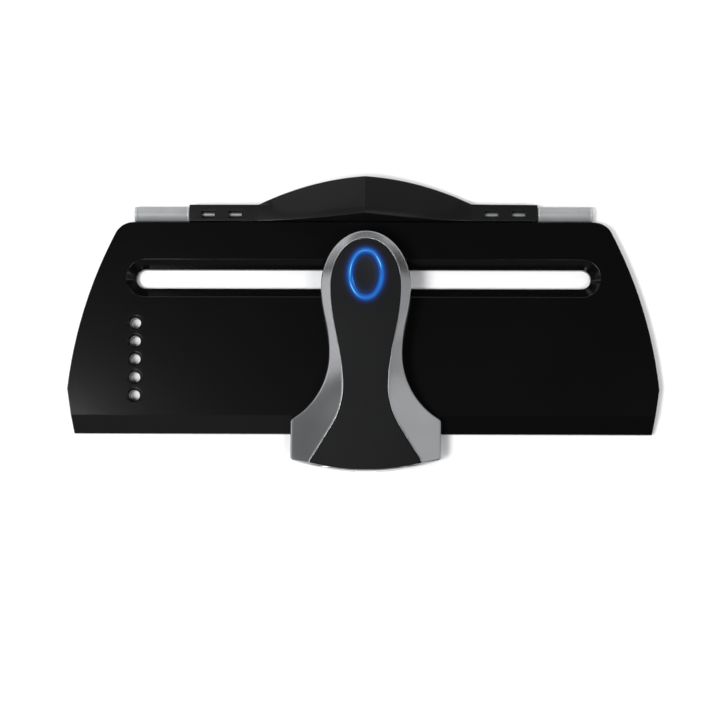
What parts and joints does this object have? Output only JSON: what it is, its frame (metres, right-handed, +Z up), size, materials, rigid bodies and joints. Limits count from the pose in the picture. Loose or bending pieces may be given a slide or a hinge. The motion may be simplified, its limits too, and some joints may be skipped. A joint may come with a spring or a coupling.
{
  "type": "print calibrator",
  "caption": "Strip-reading print calibrator: a flat black guide with a long slot and rear rollers, and a silver hand-held reader with a lit oval button that slides along the slot.",
  "frame": {"origin": "on the table under the middle of the object's overall box", "axes": "+X along the slot and the roller axle, +Y from the reader's foot to the rear rollers, +Z up"},
  "size_m": [0.334, 0.166, 0.0353],
  "materials": {
    "guide_black": "near-black satin moulded plastic",
    "bush_brass": "plain turned bush",
    "screw_steel": "zinc-plated screw",
    "pad_rubber": "thin grip pad",
    "axle_steel": "ground rod",
    "roller_grey": "light grey grip sleeve, satin",
    "collar_white": "pale end collar",
    "silver_paint": "satin silver metallic paint on plastic",
    "soft_black": "soft-touch charcoal",
    "ring_blue": "frosted light guide, lit blue",
    "base_black": "moulded plastic",
    "clear_glass": "clear disc",
    "board_green": "circuit board",
    "led_white": "moulded lens",
    "detector_can": "plated can",
    "chip_black": "moulded package",
    "inlet_steel": "tinned shell",
    "ribbon_amber": "flat flexible cable",
    "glide_white": "slippery glide strip",
    "button_black": "satin black cap"
  },
  "bodies": {
    "guide": {"guide_plate": "guide_black", "roller_cover": "guide_black", "axle_bushes": "bush_brass", "cover_screws": "screw_steel", "front_glides": "pad_rubber"},
    "rollers": {"roller_axle": "axle_steel", "roller_sleeves": "roller_grey", "roller_collars": "collar_white"},
    "reader": {"reader_housing": "silver_paint", "reader_face": "soft_black", "light_ring": "ring_blue", "reader_base": "base_black", "aperture_nose": "base_black", "aperture_window": "clear_glass", "optics_block": "base_black", "lamp_board": "board_green", "lamp_leds": "led_white", "detector": "detector_can", "head_board": "board_green", "ring_leds": "led_white", "switch_body": "chip_black", "main_board": "board_green", "board_chips": "chip_black", "usb_board": "board_green", "usb_inlet": "inlet_steel", "usb_tongue": "chip_black", "usb_ribbon": "ribbon_amber", "head_ribbon": "ribbon_amber", "base_screws": "screw_steel", "board_screws": "screw_steel", "reader_glides": "glide_white"},
    "button": {"button_cap": "button_black", "switch_plunger": "led_white"}
  },
  "joints": [
    {"name": "reader_slide", "type": "slide", "parent": "guide", "child": "reader", "axis": [1, 0, 0], "range_m": [-0.1258, 0.1218]},
    {"name": "button_press", "type": "slide", "parent": "reader", "child": "button", "axis": [0, 0, -1], "range_m": [0, 0.0008], "stiffness_N_per_m": 1500},
    {"name": "roller_spin", "type": "hinge", "parent": "guide", "child": "rollers", "pos_m": [0, 0.064, 0.0045], "axis": [1, 0, 0], "continuous": true}
  ]
}
